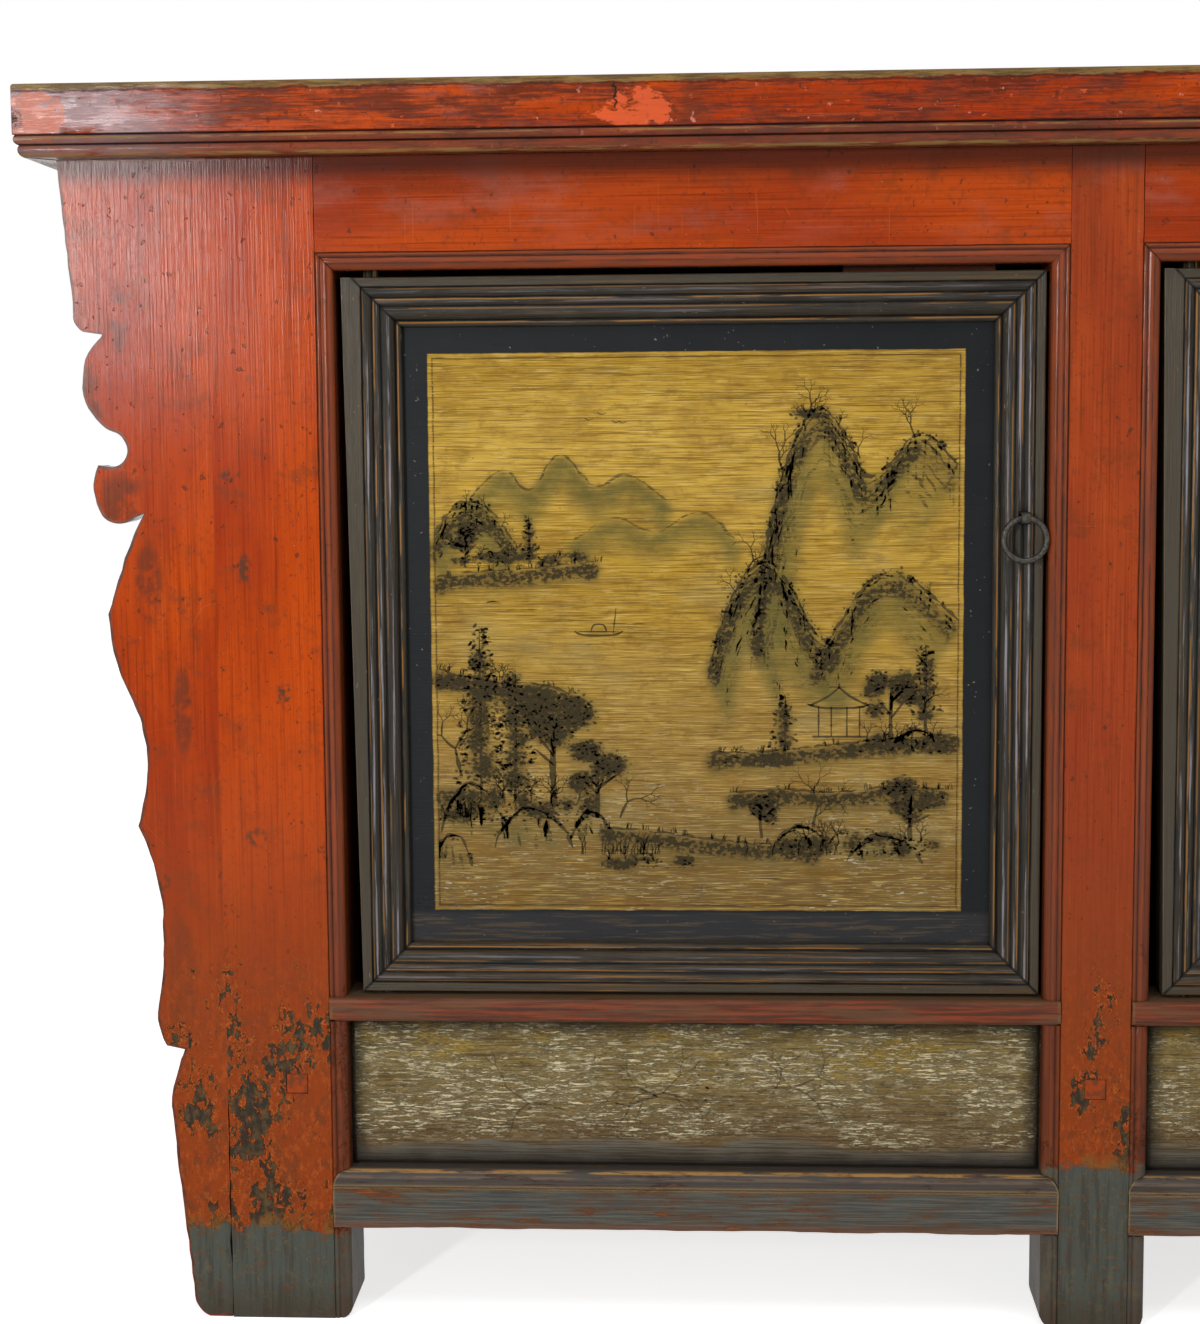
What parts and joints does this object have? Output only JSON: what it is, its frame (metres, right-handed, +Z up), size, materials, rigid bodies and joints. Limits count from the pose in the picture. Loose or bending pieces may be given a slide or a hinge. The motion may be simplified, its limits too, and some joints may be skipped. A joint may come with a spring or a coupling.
{
  "type": "painted sideboard",
  "caption": "Long low cabinet with framed top, scalloped side wings, panelled doors on wooden pins with ring pulls, and painted panels below.",
  "frame": {"origin": "on the floor, under the middle of the top", "axes": "+X along the length to the right seen from the front, +Y from the doors to the back, +Z up"},
  "size_m": [2.0416, 0.46, 0.87],
  "materials": {
    "red_lacquer": "worn red lacquer over softwood, rubbed to ochre and dark brown along the edges",
    "side_lacquer": "thin dull red lacquer",
    "blue_grey_lacquer": "blue-grey paint rubbed through to rust brown",
    "dark_lacquer": "charcoal lacquer, glossy, worn to ochre on the mouldings",
    "painted_panel": "ochre-gold painted ground with ink landscape and a blue-black margin",
    "weathered_panel": "faded ochre paint with raised weathered grain",
    "back_wood": "dry brown softwood, unpainted",
    "bare_wood": "bare softwood, unpainted",
    "iron": "dark forged iron, satin"
  },
  "bodies": {
    "carcass": {"top_front_member": "red_lacquer", "top_back_member": "red_lacquer", "top_left_member": "red_lacquer", "top_right_member": "red_lacquer", "top_boards": "red_lacquer", "top_battens": "bare_wood", "front_left_post": "red_lacquer", "front_left_middle_post": "red_lacquer", "front_right_middle_post": "red_lacquer", "front_right_post": "red_lacquer", "back_left_post": "red_lacquer", "back_right_post": "red_lacquer", "back_middle_posts": "red_lacquer", "front_left_wing": "red_lacquer", "front_right_wing": "red_lacquer", "back_wings": "red_lacquer", "left_top_rail": "red_lacquer", "left_sill_rail": "red_lacquer", "left_base_rail": "blue_grey_lacquer", "left_lower_panel": "weathered_panel", "centre_top_rail": "red_lacquer", "centre_sill_rail": "red_lacquer", "centre_base_rail": "blue_grey_lacquer", "centre_lower_panel": "weathered_panel", "right_top_rail": "red_lacquer", "right_sill_rail": "red_lacquer", "right_base_rail": "blue_grey_lacquer", "right_lower_panel": "weathered_panel", "left_side_top_rail": "red_lacquer", "left_side_bottom_rail": "red_lacquer", "right_side_top_rail": "red_lacquer", "right_side_bottom_rail": "red_lacquer", "side_panels": "side_lacquer", "back_top_rails": "back_wood", "back_bottom_rails": "back_wood", "back_panels": "back_wood", "floor_bearers": "bare_wood", "floor_boards": "bare_wood"},
    "left_door": {"left_door_hinge_stile": "dark_lacquer", "left_door_lock_stile": "dark_lacquer", "left_door_top_rail": "dark_lacquer", "left_door_bottom_rail": "dark_lacquer", "left_door_panel": "painted_panel", "left_door_staple": "iron"},
    "centre_door": {"centre_door_hinge_stile": "dark_lacquer", "centre_door_lock_stile": "dark_lacquer", "centre_door_top_rail": "dark_lacquer", "centre_door_bottom_rail": "dark_lacquer", "centre_door_panel": "painted_panel", "centre_door_staple": "iron"},
    "right_door": {"right_door_hinge_stile": "dark_lacquer", "right_door_lock_stile": "dark_lacquer", "right_door_top_rail": "dark_lacquer", "right_door_bottom_rail": "dark_lacquer", "right_door_panel": "painted_panel", "right_door_staple": "iron"},
    "left_ring": {"left_door_ring": "iron"},
    "centre_ring": {"centre_door_ring": "iron"},
    "right_ring": {"right_door_ring": "iron"}
  },
  "joints": [
    {"name": "left_door_hinge", "type": "hinge", "parent": "carcass", "child": "left_door", "pos_m": [-0.78275, -0.19, 0.4885], "axis": [0, 0, -1], "range_deg": [0, 105]},
    {"name": "left_ring_swing", "type": "hinge", "parent": "left_door", "child": "left_ring", "pos_m": [-0.33355, -0.2115, 0.5715], "axis": [-1, 0, 0], "range_deg": [-5, 180]},
    {"name": "centre_door_hinge", "type": "hinge", "parent": "carcass", "child": "centre_door", "pos_m": [-0.22075, -0.19, 0.4885], "axis": [0, 0, -1], "range_deg": [0, 105]},
    {"name": "centre_ring_swing", "type": "hinge", "parent": "centre_door", "child": "centre_ring", "pos_m": [0.22845, -0.2115, 0.5715], "axis": [-1, 0, 0], "range_deg": [-5, 180]},
    {"name": "right_door_hinge", "type": "hinge", "parent": "carcass", "child": "right_door", "pos_m": [0.78275, -0.19, 0.4885], "axis": [0, 0, 1], "range_deg": [0, 105]},
    {"name": "right_ring_swing", "type": "hinge", "parent": "right_door", "child": "right_ring", "pos_m": [0.33355, -0.2115, 0.5715], "axis": [-1, 0, 0], "range_deg": [-5, 180]}
  ]
}
